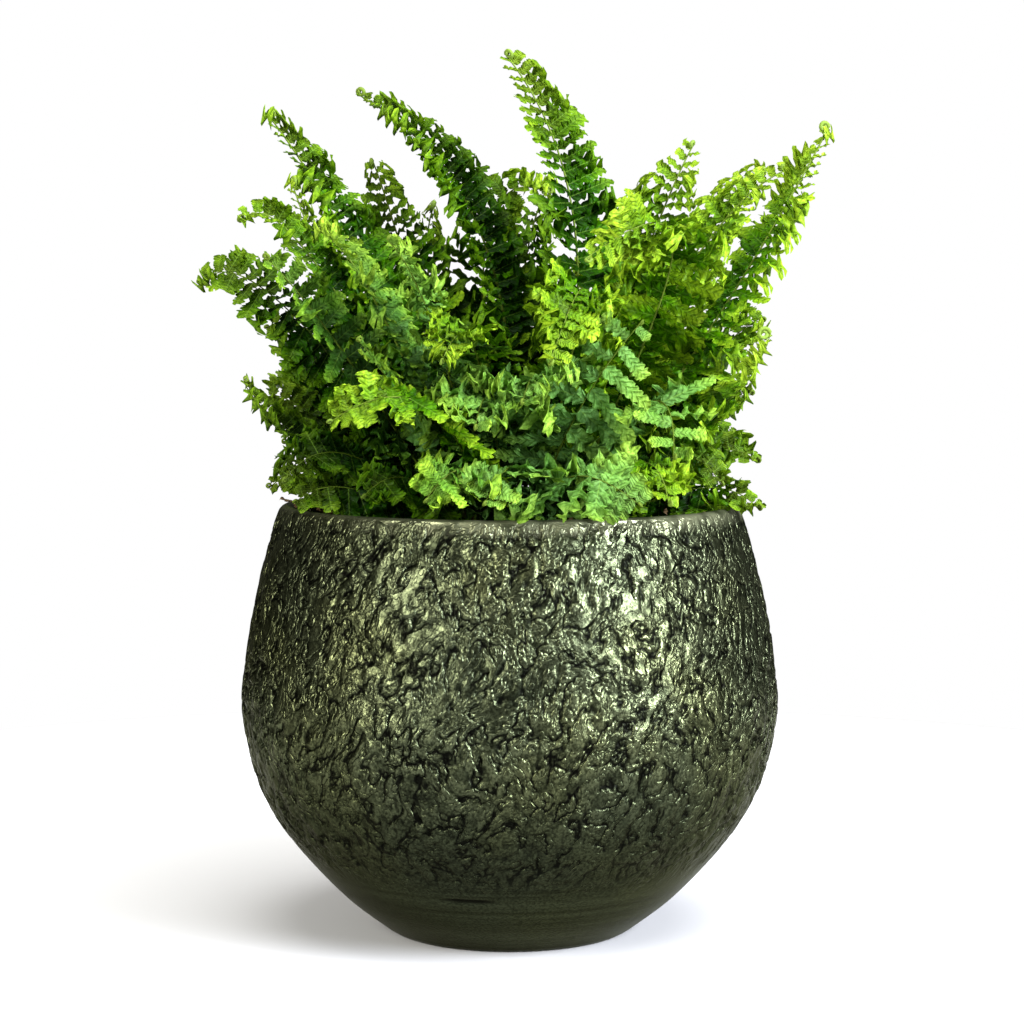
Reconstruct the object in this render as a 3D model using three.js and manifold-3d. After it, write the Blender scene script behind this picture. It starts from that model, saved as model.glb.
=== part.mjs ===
// Boston fern with ruffled leaflets, growing in a round pot with a crusted glaze.
// Millimetres, +Z up, origin at the middle of the pot's flat foot. The viewer stands on the -Y side.
import * as THREE from "three";
import { mergeVertices } from "three/addons/utils/BufferGeometryUtils.js";
import Module from "manifold-3d";

const wasm = await Module();
wasm.setup();

// Pot
const POT_HEIGHT = 152;
const POT_FOOT_RADIUS = 43.5;
const POT_LIP_RADIUS = 79.4; // to the crest of the lip
const LIP_ROUND = 2.9; // the lip is rounded off to this radius
const POT_FLOOR = 9; // thickness of the bottom
const POT_SEGMENTS = 36;
// The outer wall from the foot to below the lip, as radius and height
const POT_WALL = [
  [45.8, 1.4],
  [60.8, 13.5],
  [77.4, 32],
  [89.2, 51.5],
  [95.2, 76],
  [94.4, 97],
  [89.8, 122.5],
  [83.4, 146],
];
// The inner wall from the floor to below the lip
const POT_HOLLOW = [
  [50, POT_FLOOR],
  [68, 31],
  [82, 53],
  [88.2, 76],
  [87.6, 97],
  [83, 122.5],
  [76.9, 146],
];

// Soil and the rhizome that the fronds grow from
const SOIL_TOP = 136; // at the pot's wall
const SOIL_RISE = 3; // the soil is heaped by this much in the middle
const SOIL_FIT = 0.5; // to the pot's wall
const CROWN_RADIUS = 31;
const CROWN_SINK = 5; // how deep the rhizome sits in the soil
const CROWN_RISE = 8; // how far it stands out of the soil
const CROWN_FIT = 0.4;
const FOOT_DEPTH = 5; // how deep a stalk stands in the rhizome
const HOLE_FIT = 0.4;

// Fronds
const STALK_WIDTH = 2.2; // at the foot
const RIB_WIDTH = 1.1; // at the tip
const RIB_DEPTH = 1.3; // thickness of the midrib, which thins to the blade's
const BLADE = 0.7; // thickness of a leaflet
const CLEARANCE = 0.3; // what a leaflet keeps to its neighbours
const BARE_SHARE = 0.2; // of the frond's length, which is stalk with no leaflets
const SWEEP = 14; // degrees that a leaflet leans towards the frond's tip

const degrees = Math.PI / 180;
const Z = new THREE.Vector3(0, 0, 1);

// A number from 0 to 1 that depends only on its two whole numbers
function chance(a, b) {
  const x = Math.sin(a * 127.1 + b * 311.7) * 43758.5453;
  return x - Math.floor(x);
}

// Closed geometry from triangles of points, each point a Vector3
function geometryOf(triangles) {
  const position = triangles.flat().flatMap((p) => [p.x, p.y, p.z]);
  const soup = new THREE.BufferGeometry();
  soup.setAttribute("position", new THREE.Float32BufferAttribute(position, 3));
  return mergeVertices(soup, 1e-3);
}

function solidOf(geometry) {
  const bare = geometry.clone();
  bare.deleteAttribute("normal");
  bare.deleteAttribute("uv");
  const merged = mergeVertices(bare, 1e-3);
  return new wasm.Manifold(
    new wasm.Mesh({
      numProp: 3,
      vertProperties: merged.attributes.position.array,
      triVerts: new Uint32Array(merged.index.array),
    }),
  );
}

function geometryFrom(solid) {
  const mesh = solid.getMesh();
  const made = new THREE.BufferGeometry();
  made.setAttribute("position", new THREE.BufferAttribute(mesh.vertProperties, 3));
  made.setIndex(new THREE.BufferAttribute(mesh.triVerts, 1));
  return made;
}

// A solid of revolution about +Z from an outline of [radius, height], which starts and ends on the axis
function turned(outline, segments) {
  const points = outline.map(([r, z]) => new THREE.Vector2(r, z));
  return new THREE.LatheGeometry(points, segments).rotateX(Math.PI / 2);
}

function smooth(points, steps) {
  const curve = new THREE.SplineCurve(points.map(([r, z]) => new THREE.Vector2(r, z)));
  return curve.getPoints(steps).map((p) => [p.x, p.y]);
}

function hollowWall() {
  return smooth(POT_HOLLOW, 6);
}

function potGeometry() {
  const lip = [];
  for (const angle of [20, 60, 120, 160]) {
    const across = Math.cos(angle * degrees) * LIP_ROUND;
    const up = Math.sin(angle * degrees) * LIP_ROUND;
    lip.push([POT_LIP_RADIUS + across, POT_HEIGHT - LIP_ROUND + up]);
  }
  const outside = smooth(POT_WALL, 12);
  const inside = hollowWall().reverse();
  const outline = [[0, 0], [POT_FOOT_RADIUS, 0], ...outside, ...lip, ...inside, [0, POT_FLOOR]];
  return turned(outline, POT_SEGMENTS);
}

// Height of the rhizome's rounded top at a distance from its middle
function crownTop(radius) {
  const share = Math.min(1, radius / CROWN_RADIUS);
  return SOIL_TOP + SOIL_RISE + CROWN_RISE * (1 - share ** 2.4) - 1;
}

function soilGeometry() {
  const hollow = hollowWall();
  const above = hollow.findIndex(([, z]) => z > SOIL_TOP);
  const [[r0, z0], [r1, z1]] = [hollow[above - 1], hollow[above]];
  const edge = THREE.MathUtils.mapLinear(SOIL_TOP, z0, z1, r0, r1);
  const pit = SOIL_TOP + SOIL_RISE - CROWN_SINK;
  const outline = [
    [0, POT_FLOOR + CROWN_FIT],
    [hollow[0][0] - 1, POT_FLOOR + CROWN_FIT],
    ...hollow.slice(1, above).map(([r, z]) => [r - SOIL_FIT, z]),
    [edge - SOIL_FIT, SOIL_TOP],
    [58, SOIL_TOP + SOIL_RISE * 0.7],
    [CROWN_RADIUS + CROWN_FIT, SOIL_TOP + SOIL_RISE],
    [CROWN_RADIUS + CROWN_FIT, pit],
    [0, pit],
  ];
  return turned(outline, POT_SEGMENTS);
}

// Fronds that the viewer sees, as [name, waist, tip, longest leaflet, leaflet pairs, roll, fold]. The waist is half
// way up the curve, both points are in millimetres, roll turns the blade about its midrib and fold raises its sides.
const SEEN = [
  ["left_tall", [-49, 6, 228], [-86, 10, 290], 23, 9, -28, 22],
  ["left_young", [-60, 24, 222], [-80, 32, 268], 13, 7, -30, 22],
  ["left_high_arch", [-66, -10, 234], [-93, -16, 252], 18, 8, -45, 18],
  ["left_low_arch", [-77, 1, 219], [-110, 6, 231], 22, 8, -45, 15],
  ["left_leaning", [-58, -28, 207], [-83, -40, 238], 24, 7, -50, 18],
  ["left_mid", [-65, 14, 202], [-88, 22, 215], 24, 6, -60, 12],
  ["left_mid_low", [-66, -8, 181], [-86, -10, 190], 19, 6, -50, 12],
  ["left_thin", [-73, -26, 176], [-91, -34, 197], 12, 6, -50, 22],
  ["left_rim", [-61, 12, 161], [-87, 14, 157], 17, 6, -40, -8],
  ["left_low_back", [-62, 39, 178], [-84, 44, 172], 19, 6, -60, 0],
  ["left_low_front", [-53, -30, 170], [-76, -50, 163], 18, 6, -40, 0],
  ["left_back_upright", [-36, 24, 231], [-50, 30, 275], 25, 8, -70, 18],
  ["left_crozier", [-28, 35, 217], [-29, 50, 259], 17, 6, -20, 25],
  ["long_arch", [-7, 12, 239], [-54, 16, 298], 21, 9, -28, 22],
  ["centre_tall", [24, 2, 240], [-1, -2, 310], 27, 9, -60, 18],
  ["centre_back", [4, 35, 226], [16, 54, 270], 20, 8, 0, 22],
  ["comb", [-9, 30, 243], [14, 30, 264], 24, 7, 30, 25],
  ["right_upright", [47, 22, 235], [67, 30, 281], 26, 8, 50, 18],
  ["right_arch", [70, 49, 243], [95, 60, 273], 21, 7, 45, 22],
  ["right_slant", [62, 12, 232], [99, 12, 271], 21, 8, 50, 22],
  ["right_long", [66, -18, 208], [110, -20, 283], 23, 10, 32, 0],
  ["right_mid", [69, 2, 200], [90, 4, 217], 22, 7, 40, 12],
  ["right_crozier", [68, -34, 182], [88, -44, 212], 14, 7, 35, 22],
  ["right_mid_low", [64, -9, 179], [85, -10, 191], 17, 6, 35, 12],
  ["right_low", [65, 14, 167], [90, 18, 166], 17, 6, 42, 15],
  ["right_low_back", [64, 38, 173], [84, 44, 168], 19, 6, 60, 0],
  ["right_rim", [62, -21, 158], [86, -28, 152], 18, 6, 30, -8],
  ["right_low_front", [51, -40, 169], [71, -50, 162], 19, 6, 35, 0],
  ["bright_arch", [56, -24, 238], [26, -44, 238], 24, 8, -30, 8],
  ["bright_arch_low", [24, -45, 222], [13, -74, 203], 20, 7, -20, 22],
  ["front_right", [20, -55, 181], [43, -68, 216], 27, 8, -44, 10],
  ["front_mid_right", [45, -47, 188], [54, -68, 172], 27, 6, 20, 12],
  ["front_light_left", [-42, -34, 216], [-64, -38, 247], 21, 7, -40, 22],
  ["front_blue_left", [-24, -46, 210], [-40, -58, 243], 22, 7, -25, 18],
  ["front_yellow", [-11, -49, 205], [-22, -80, 203], 19, 7, -10, 22],
  ["front_inner_left", [-38, -50, 192], [-50, -66, 210], 22, 6, -30, 15],
  ["front_lime_left", [-25, -67, 187], [-58, -77, 184], 22, 7, -20, 12],
  ["front_low_left", [-12, -69, 167], [-27, -83, 159], 22, 6, -15, 0],
  ["rim_front_left", [-31, -54, 163], [-48, -68, 159], 20, 6, -30, -8],
  ["front_inner_mid", [-6, -57, 187], [-11, -86, 182], 26, 6, 0, 12],
  ["front_low_mid", [2, -67, 168], [-8, -86, 158], 26, 6, 0, 0],
  ["front_low_right", [18, -72, 165], [42, -76, 157], 27, 6, 20, 0],
  ["front_rim_right", [40, -56, 169], [52, -74, 157], 22, 6, 0, -5],
  ["front_centre", [8, -52, 192], [4, -84, 190], 28, 6, 10, 15],
  ["left_bottom", [-50, -42, 159], [-72, -46, 156], 19, 6, -35, -8],
];
// Fronds of the side turned away, placed by a rule: two tiers, each spread evenly over an arc
const FAR_TIERS = [
  { name: "far_high", count: 5, from: 50, to: 108, reach: 68, rise: 98, longest: 23, pairs: 7, fold: 30 },
  { name: "far_low", count: 6, from: 22, to: 158, reach: 90, rise: 62, longest: 22, pairs: 7, fold: 25 },
];

function farFronds() {
  return FAR_TIERS.flatMap((tier, k) => {
    const step = (tier.to - tier.from) / (tier.count - 1);
    return Array.from({ length: tier.count }, (_, i) => {
      const heading = (tier.from + i * step + 8 * (chance(i, k) - 0.5)) * degrees;
      const reach = tier.reach * (0.92 + 0.16 * chance(i, k + 7));
      const rise = tier.rise * (0.9 + 0.2 * chance(i, k + 13));
      const at = (share, up) => [
        Math.cos(heading) * reach * share,
        Math.sin(heading) * reach * share,
        SOIL_TOP + rise * up,
      ];
      return [tier.name + "_" + (i + 1), at(0.62, 0.7), at(1, 1), tier.longest, tier.pairs, 20, tier.fold];
    });
  });
}

// The curve of a midrib from its foot in the rhizome, through the waist, to the tip
function ribCurve(waist, tip) {
  const [w, t] = [new THREE.Vector3(...waist), new THREE.Vector3(...tip)];
  const lean = Math.hypot(w.x, w.y);
  const flatness = lean / Math.hypot(lean, w.z - SOIL_TOP);
  const ring = 5 + 18 * flatness;
  const foot = new THREE.Vector3((w.x / lean) * ring, (w.y / lean) * ring, crownTop(ring) - FOOT_DEPTH);
  const control = w.clone().multiplyScalar(2).sub(foot.clone().add(t).multiplyScalar(0.5));
  return new THREE.QuadraticBezierCurve3(foot, control, t);
}

// Where the midrib is and how the blade stands there: along runs to the tip, side to its left, face upwards
function standAt(curve, share, roll) {
  const along = curve.getTangentAt(share);
  const heading = curve.getPointAt(1).sub(curve.getPointAt(0));
  const side = new THREE.Vector3().crossVectors(Z, heading).normalize();
  side.addScaledVector(along, -side.dot(along)).normalize();
  side.applyAxisAngle(along, roll * degrees * THREE.MathUtils.smoothstep(share, 0, 0.5));
  return { at: curve.getPointAt(share), along, side, face: new THREE.Vector3().crossVectors(along, side) };
}

// Corner of the midrib's four-sided section: sideways -1 or 1, up -1 or 1
function corner(stand, share, sideways, up, extra = 0) {
  const width = THREE.MathUtils.lerp(STALK_WIDTH, RIB_WIDTH, share) / 2 + extra;
  const depth = THREE.MathUtils.lerp(STALK_WIDTH, RIB_DEPTH, Math.min(1, share * 2)) / 2 + extra;
  return stand.at.clone().addScaledVector(stand.side, sideways * width).addScaledVector(stand.face, up * depth);
}

// Length of a leaflet at a share of the leafy stretch: short at the foot, longest before the middle, fine at the tip
function leafletLength(share, longest) {
  const swell = 0.28 + 0.72 * Math.sin(Math.PI * share ** 0.75) ** 0.8;
  return longest * swell * (1 - 0.35 * share) * (1 - 0.6 * share ** 4);
}

// The three outer points of a leaflet, on its middle plane, with waved edges
function leafletPoints(stand, next, sideways, length, fold, turn) {
  const root = stand.at.clone().lerp(next.at, 0.5);
  const out = stand.side.clone().multiplyScalar(sideways * Math.cos(fold * degrees));
  out.addScaledVector(stand.face, Math.sin(fold * degrees));
  const reach = out.clone().multiplyScalar(Math.cos(SWEEP * degrees));
  reach.addScaledVector(stand.along, Math.sin(SWEEP * degrees));
  const over = new THREE.Vector3().crossVectors(reach, stand.along).multiplyScalar(-sideways).normalize();
  const half = stand.at.distanceTo(next.at) * 0.5;
  const place = (far, ahead, wave) =>
    root.clone().addScaledVector(reach, length * far).addScaledVector(stand.along, half * ahead)
      .addScaledVector(over, length * wave);
  return {
    over,
    low: place(0.5, -0.86, 0.07 * turn),
    tip: place(1, 0, -0.1),
    high: place(0.56, 0.86, -0.07 * turn),
  };
}

// Triangles of a leaflet on the midrib's side wall, with root corners given for its top and its underside
function leafletFaces(points, top, under, sideways, thickness) {
  const lift = points.over.clone().multiplyScalar(thickness / 2);
  const outline = [points.low, points.tip, points.high];
  const above = [top[0], ...outline.map((p) => p.clone().add(lift)), top[1]];
  const below = [under[0], ...outline.map((p) => p.clone().sub(lift)), under[1]];
  const split = [[0, 1, 4], [1, 3, 4], [1, 2, 3]];
  const faces = split.flatMap(([a, b, c]) => [
    [above[a], above[b], above[c]],
    [below[c], below[b], below[a]],
  ]);
  for (let i = 0; i < 4; i++) {
    faces.push([above[i], below[i], below[i + 1]], [above[i], below[i + 1], above[i + 1]]);
  }
  return sideways > 0 ? faces.map((f) => f.reverse()) : faces;
}

// A stand-alone thick leaflet, to try whether there is room for it
function trialLeaflet(points, top, under, sideways) {
  const thick = BLADE + 2 * CLEARANCE;
  const grow = points.over.clone().multiplyScalar(CLEARANCE);
  const outside = points.over.clone().multiplyScalar(0).addScaledVector(points.tip.clone().sub(top[0]).normalize(), 0.6);
  const wideTop = top.map((p) => p.clone().add(grow).add(outside));
  const wideUnder = under.map((p) => p.clone().sub(grow).add(outside));
  const faces = leafletFaces(points, wideTop, wideUnder, sideways, thick);
  const root = [
    [wideTop[0], wideTop[1], wideUnder[1]],
    [wideTop[0], wideUnder[1], wideUnder[0]],
  ];
  return solidOf(geometryOf([...faces, ...(sideways > 0 ? root.map((f) => f.reverse()) : root)]));
}

// A closed four-sided tube along stands
function tubeFaces(stands, shares, extra) {
  const ring = (i) => [[-1, 1], [1, 1], [1, -1], [-1, -1]].map(([s, u]) => corner(stands[i], shares[i], s, u, extra));
  const faces = [];
  stands.slice(1).forEach((_, i) => {
    const [a, b] = [ring(i), ring(i + 1)];
    for (let k = 0; k < 4; k++) {
      const n = (k + 1) % 4;
      faces.push([a[k], b[k], b[n]], [a[k], b[n], a[n]]);
    }
  });
  const [first, last] = [ring(0), ring(stands.length - 1)];
  faces.push([first[0], first[1], first[2]], [first[0], first[2], first[3]]);
  faces.push([last[2], last[1], last[0]], [last[3], last[2], last[0]]);
  return faces;
}

function boundsTouch(a, b) {
  return [0, 1, 2].every((k) => a.min[k] <= b.max[k] && b.min[k] <= a.max[k]);
}

class Frond {
  constructor([name, waist, tip, longest, pairs, roll, fold], number) {
    Object.assign(this, { name, longest, pairs, fold, number });
    this.curve = ribCurve(waist, tip);
    this.shares = [0, BARE_SHARE * 0.5];
    for (let i = 0; i <= pairs; i++) this.shares.push(BARE_SHARE + (1 - BARE_SHARE) * (i / pairs) ** 0.92);
    this.stands = this.shares.map((s) => standAt(this.curve, s, roll));
  }

  tube(extra) {
    return solidOf(geometryOf(tubeFaces(this.stands, this.shares, extra)));
  }

  // The lowest stretch of the stalk, grown to a hole that it stands in
  hole() {
    const shares = [-0.01, 0.12];
    const stands = shares.map((s) => {
      const stand = standAt(this.curve, Math.max(0, s), 0);
      if (s < 0) stand.at.addScaledVector(stand.along, -HOLE_FIT);
      return stand;
    });
    return solidOf(geometryOf(tubeFaces(stands, [0, 0.05], HOLE_FIT)));
  }

  // Picks for each leaflet the first fold and length at which it is clear of everything in the list
  settle(obstacles) {
    this.leaflets = [];
    for (let i = 0; i < this.pairs; i++) {
      for (const sideways of [-1, 1]) this.leaflets.push(this.placed(i, sideways, obstacles));
    }
  }

  placed(i, sideways, obstacles) {
    const k = i + 2;
    const [a, b] = [this.stands[k], this.stands[k + 1]];
    const [sa, sb] = [this.shares[k], this.shares[k + 1]];
    const top = [corner(a, sa, sideways, 1), corner(b, sb, sideways, 1)];
    const under = [corner(a, sa, sideways, -1), corner(b, sb, sideways, -1)];
    const full = leafletLength((i + 0.5) / this.pairs, this.longest);
    const turn = chance(this.number, 2 * i + sideways) > 0.5 ? 1 : -1;
    for (const share of [1, 0.8, 0.6, 0.42, 0.28]) {
      for (const bend of [0, 16, -16, 32, -32, 48, 64]) {
        const points = leafletPoints(a, b, sideways, full * share, this.fold + bend, turn);
        const solid = trialLeaflet(points, top, under, sideways);
        const bounds = solid.boundingBox();
        const near = obstacles.filter((o) => o.owner !== this.name && boundsTouch(o.bounds, bounds));
        if (near.every((o) => o.solid.intersect(solid).isEmpty())) {
          const faces = leafletFaces(points, top, under, sideways, BLADE);
          obstacles.push({ owner: this.name, solid, bounds });
          return { k, sideways, faces, share };
        }
      }
    }
    return { k, sideways, faces: null, share: 0 };
  }

  // Midrib and leaflets as one closed surface: a wall that holds a leaflet is left out of the tube
  geometry() {
    const faces = tubeFaces(this.stands, this.shares, 0);
    const wallAt = (k, sideways) => 8 * k + (sideways > 0 ? 2 : 6);
    const gone = new Set();
    for (const leaflet of this.leaflets.filter((l) => l.faces)) {
      const wall = wallAt(leaflet.k, leaflet.sideways);
      gone.add(wall).add(wall + 1);
    }
    const kept = faces.filter((_, i) => !gone.has(i));
    return geometryOf([...kept, ...this.leaflets.flatMap((l) => l.faces ?? [])]);
  }
}

function fernParts() {
  const pot = potGeometry();
  const soil = soilGeometry();
  const fronds = [...SEEN, ...farFronds()].map((row, number) => new Frond(row, number));
  const crownOutline = [[0, SOIL_TOP + SOIL_RISE - CROWN_SINK + CROWN_FIT]];
  crownOutline.push([CROWN_RADIUS, SOIL_TOP + SOIL_RISE - CROWN_SINK + CROWN_FIT]);
  for (const share of [1, 0.66, 0]) crownOutline.push([CROWN_RADIUS * share, crownTop(CROWN_RADIUS * share)]);
  let crown = solidOf(turned(crownOutline, 16));
  for (const frond of fronds) crown = crown.subtract(frond.hole());

  const obstacles = [pot, soil].map((g) => ({ owner: "pot", solid: solidOf(g) }));
  obstacles.push({ owner: "crown", solid: crown });
  for (const frond of fronds) obstacles.push({ owner: frond.name, solid: frond.tube(CLEARANCE) });
  for (const o of obstacles) o.bounds = o.solid.boundingBox();
  for (const frond of fronds) frond.settle(obstacles);
  return { pot, soil, crown: geometryFrom(crown), fronds };
}

const GLAZE = new THREE.MeshStandardMaterial({ color: "#3f4636", roughness: 0.35, metalness: 0.6 });
const PEAT = new THREE.MeshStandardMaterial({ color: "#2b2018", roughness: 1 });
const RHIZOME = new THREE.MeshStandardMaterial({ color: "#4a3a20", roughness: 0.9 });
const LEAF = new THREE.MeshStandardMaterial({ color: "#4c8a1f", roughness: 0.5 });

function named(name, geometry, material) {
  const mesh = new THREE.Mesh(geometry, material);
  mesh.name = name;
  return mesh;
}

const parts = fernParts();
const fern = new THREE.Group();
fern.add(named("pot", parts.pot, GLAZE));
fern.add(named("soil", parts.soil, PEAT));
fern.add(named("rhizome", parts.crown, RHIZOME));
for (const frond of parts.fronds) fern.add(named("frond_" + frond.name, frond.geometry(), LEAF));

export default fern;
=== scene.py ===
import math
import random
from collections import namedtuple

import bmesh
import bpy
import numpy as np
from mathutils import Matrix, Vector, noise


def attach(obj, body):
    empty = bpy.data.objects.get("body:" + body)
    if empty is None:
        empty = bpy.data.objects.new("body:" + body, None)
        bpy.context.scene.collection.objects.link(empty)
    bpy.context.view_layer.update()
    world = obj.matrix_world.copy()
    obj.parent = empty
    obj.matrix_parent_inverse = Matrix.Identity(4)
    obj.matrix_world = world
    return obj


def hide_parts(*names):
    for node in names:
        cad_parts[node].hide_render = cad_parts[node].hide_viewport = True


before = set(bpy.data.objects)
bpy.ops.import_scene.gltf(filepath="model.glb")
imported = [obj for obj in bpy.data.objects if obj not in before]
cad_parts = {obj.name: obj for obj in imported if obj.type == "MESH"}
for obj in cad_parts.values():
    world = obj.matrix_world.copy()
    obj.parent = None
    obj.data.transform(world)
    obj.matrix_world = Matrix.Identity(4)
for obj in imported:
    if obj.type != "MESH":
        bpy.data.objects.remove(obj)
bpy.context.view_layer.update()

MM = 0.001
SEED = 20
random.seed(SEED)
noise.seed_set(SEED)

# Camera: a short telephoto in front of the pot, its place in metres and its downward angle in degrees
LENS_MM = 84.8
SENSOR_MM = 36
CAMERA_PLACE = (0.0008, -0.861, 0.2128)
CAMERA_DOWN = 4.25


def add_object(name, data):
    made = bpy.data.objects.new(name, data)
    bpy.context.scene.collection.objects.link(made)
    return made


def add_camera():
    data = bpy.data.cameras.new("camera")
    data.lens = LENS_MM
    data.sensor_width = SENSOR_MM
    camera = add_object("camera", data)
    camera.location = CAMERA_PLACE
    camera.rotation_euler = (math.radians(90 - CAMERA_DOWN), 0, 0)
    bpy.context.scene.camera = camera


add_camera()


# Small helpers
def smooth_step(low, high, value):
    share = np.clip((value - low) / (high - low), 0, 1)
    return share * share * (3 - 2 * share)


def unit(vector):
    return vector / np.linalg.norm(vector)


def select_only(piece):
    """Leaves one object selected and active."""
    if bpy.context.object and bpy.context.object.mode != "OBJECT":
        bpy.ops.object.mode_set(mode="OBJECT")
    bpy.ops.object.select_all(action="DESELECT")
    piece.select_set(True)
    bpy.context.view_layer.objects.active = piece


def settle(piece):
    """Moves a piece's place, turn and size into its mesh."""
    select_only(piece)
    bpy.ops.object.transform_apply(location=True, rotation=True, scale=True)


def join_to(piece, other):
    select_only(piece)
    other.select_set(True)
    bpy.ops.object.join()


def points_of(mesh):
    places = np.empty(len(mesh.vertices) * 3)
    mesh.vertices.foreach_get("co", places)
    return places.reshape(-1, 3)


def move_points(mesh, places):
    """Gives a mesh new places, told in millimetres."""
    mesh.vertices.foreach_set("co", (places * MM).ravel())
    mesh.update()


def corners_of(mesh):
    """The quads or triangles of a mesh as rows of point numbers, all with the same count."""
    return np.array([tuple(face.vertices) for face in mesh.polygons])


def note_numbers(mesh, name, values):
    """Stores one number for each point, for a finish to read."""
    noted = mesh.attributes.new(name, "FLOAT", "POINT")
    noted.data.foreach_set("value", np.asarray(values, dtype=float).ravel())


def smooth_path(points, count):
    """Catmull-Rom curve through points, as count + 1 places."""
    row = np.array(points, dtype=float)
    last = len(row) - 1
    made = []
    for step in range(count + 1):
        t = last * step / count
        i = min(int(t), last - 1) if step == count else int(t)
        f = t - i
        a, b, c, d = (row[min(max(k, 0), last)] for k in (i - 1, i, i + 1, i + 2))
        v0, v1 = (c - a) / 2, (d - b) / 2
        made.append((2 * b - 2 * c + v0 + v1) * f**3 + (-3 * b + 3 * c - 2 * v0 - v1) * f**2 + v0 * f + b)
    return np.array(made)


def turned(name, outline, segments):
    """A closed turned body, drawn up ring by ring from its flat bottom."""
    radius, height = outline[0]
    bpy.ops.mesh.primitive_circle_add(
        vertices=segments, radius=radius * MM, fill_type="NGON", location=(0, 0, height * MM)
    )
    piece = bpy.context.object
    piece.name = name
    settle(piece)
    bpy.ops.object.mode_set(mode="EDIT")
    bpy.ops.mesh.select_all(action="SELECT")
    bpy.ops.mesh.select_mode(type="EDGE")
    bpy.ops.mesh.region_to_loop()
    for wide, high in outline[1:]:
        bpy.ops.mesh.extrude_edges_move(TRANSFORM_OT_translate={"value": (0, 0, (high - height) * MM)})
        grown = wide / radius
        bpy.ops.transform.resize(value=(grown, grown, 1), center_override=(0, 0, 0))
        radius, height = wide, high
    bpy.ops.mesh.edge_face_add()
    bpy.ops.mesh.select_mode(type="VERT")
    bpy.ops.mesh.select_all(action="SELECT")
    bpy.ops.mesh.normals_make_consistent(inside=False)
    bpy.ops.object.mode_set(mode="OBJECT")
    bpy.ops.object.shade_smooth()
    return piece


# Finishes
LEAFLET_LOBES = 8


def paint(code):
    """An sRGB hex colour as linear red, green, blue and alpha."""
    parts = [int(code[k : k + 2], 16) / 255 for k in (1, 3, 5)]
    return [p / 12.92 if p <= 0.04045 else ((p + 0.055) / 1.055) ** 2.4 for p in parts] + [1]


def waves(width):
    """A pattern's scale, in whole waves per metre, for spots of a width in millimetres."""
    return round(1000 / width)


def put(tree, kind, values=None, stops=None, **settings):
    """Adds a node: settings are its own choices, values go to its sockets, stops are a ramp's colours."""
    made = tree.nodes.new("ShaderNode" + kind)
    for key, value in settings.items():
        setattr(made, key, value)
    for key, value in (values or {}).items():
        if isinstance(value, bpy.types.NodeSocket):
            tree.links.new(value, made.inputs[key])
        else:
            made.inputs[key].default_value = value
    if stops:
        ramp = made.color_ramp
        while len(ramp.elements) < len(stops):
            ramp.elements.new(0.5)
        for element, (place, colour) in zip(ramp.elements, stops):
            element.position = place
            element.color = paint(colour)
    return made


def new_finish(name):
    finish = bpy.data.materials.new(name)
    finish.use_nodes = True
    finish.node_tree.nodes.clear()
    return finish, finish.node_tree


def crust_layers(tree, place):
    """Plates of crust nearly 7 mm wide and finer ones nearly 3 mm wide, parted by winding crevices.

    Gives two heights, 0 in a crevice and 1 on a plate. The first has narrow crevices, for the colour, where
    they darken it partly as painted shade, and the second wide and rounded ones, for the relief.
    """
    # The wrinkles lean to the right as they rise
    lean = put(
        tree,
        "Mapping",
        {"Vector": place, "Rotation": (0, math.radians(28), 0), "Scale": (1, 1, 1.45)},
        vector_type="TEXTURE",
    )
    wander = put(tree, "TexNoise", {"Vector": place, "Scale": waves(22), "Detail": 1})
    bent = put(
        tree, "MixRGB", {0: 0.006, 1: lean.outputs[0], 2: wander.outputs["Color"]}, blend_type="LINEAR_LIGHT"
    ).outputs[0]
    # A noise's middle value marks the crevices
    narrow_ones, wide_ones = [], []
    for size, detail, narrow, wide in ((6.67, 2.5, 0.04, 0.085), (2.78, 2, 0.06, 0.12)):
        wrinkle = put(
            tree, "TexNoise", {"Vector": bent, "Scale": waves(size), "Detail": detail, "Roughness": 0.45}
        )
        off = put(tree, "Math", {0: wrinkle.outputs["Fac"], 1: 0.5}, operation="SUBTRACT")
        far = put(tree, "Math", {0: off.outputs[0]}, operation="ABSOLUTE").outputs[0]
        for layers, width in ((narrow_ones, narrow), (wide_ones, wide)):
            layer = put(
                tree,
                "MapRange",
                {"Value": far, "From Min": 0.0, "From Max": width},
                interpolation_type="SMOOTHSTEP",
            )
            layers.append(layer.outputs[0])
    # Here and there the glaze has filled the crevices, which leaves short ones
    filling = put(tree, "TexNoise", {"Vector": bent, "Scale": waves(5.26), "Detail": 1})
    filled = put(
        tree,
        "MapRange",
        {"Value": filling.outputs["Fac"], "From Min": 0.47, "From Max": 0.6, "To Max": 0.85},
    ).outputs[0]
    heights = []
    for coarse, fine in (narrow_ones, wide_ones):
        part = put(tree, "Math", {0: coarse, 1: 0.7}, operation="MULTIPLY").outputs[0]
        both = put(tree, "Math", {0: fine, 1: 0.3, 2: part}, operation="MULTIPLY_ADD").outputs[0]
        heights.append(put(tree, "Math", {0: both, 1: filled}, operation="MAXIMUM").outputs[0])
    return heights


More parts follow.
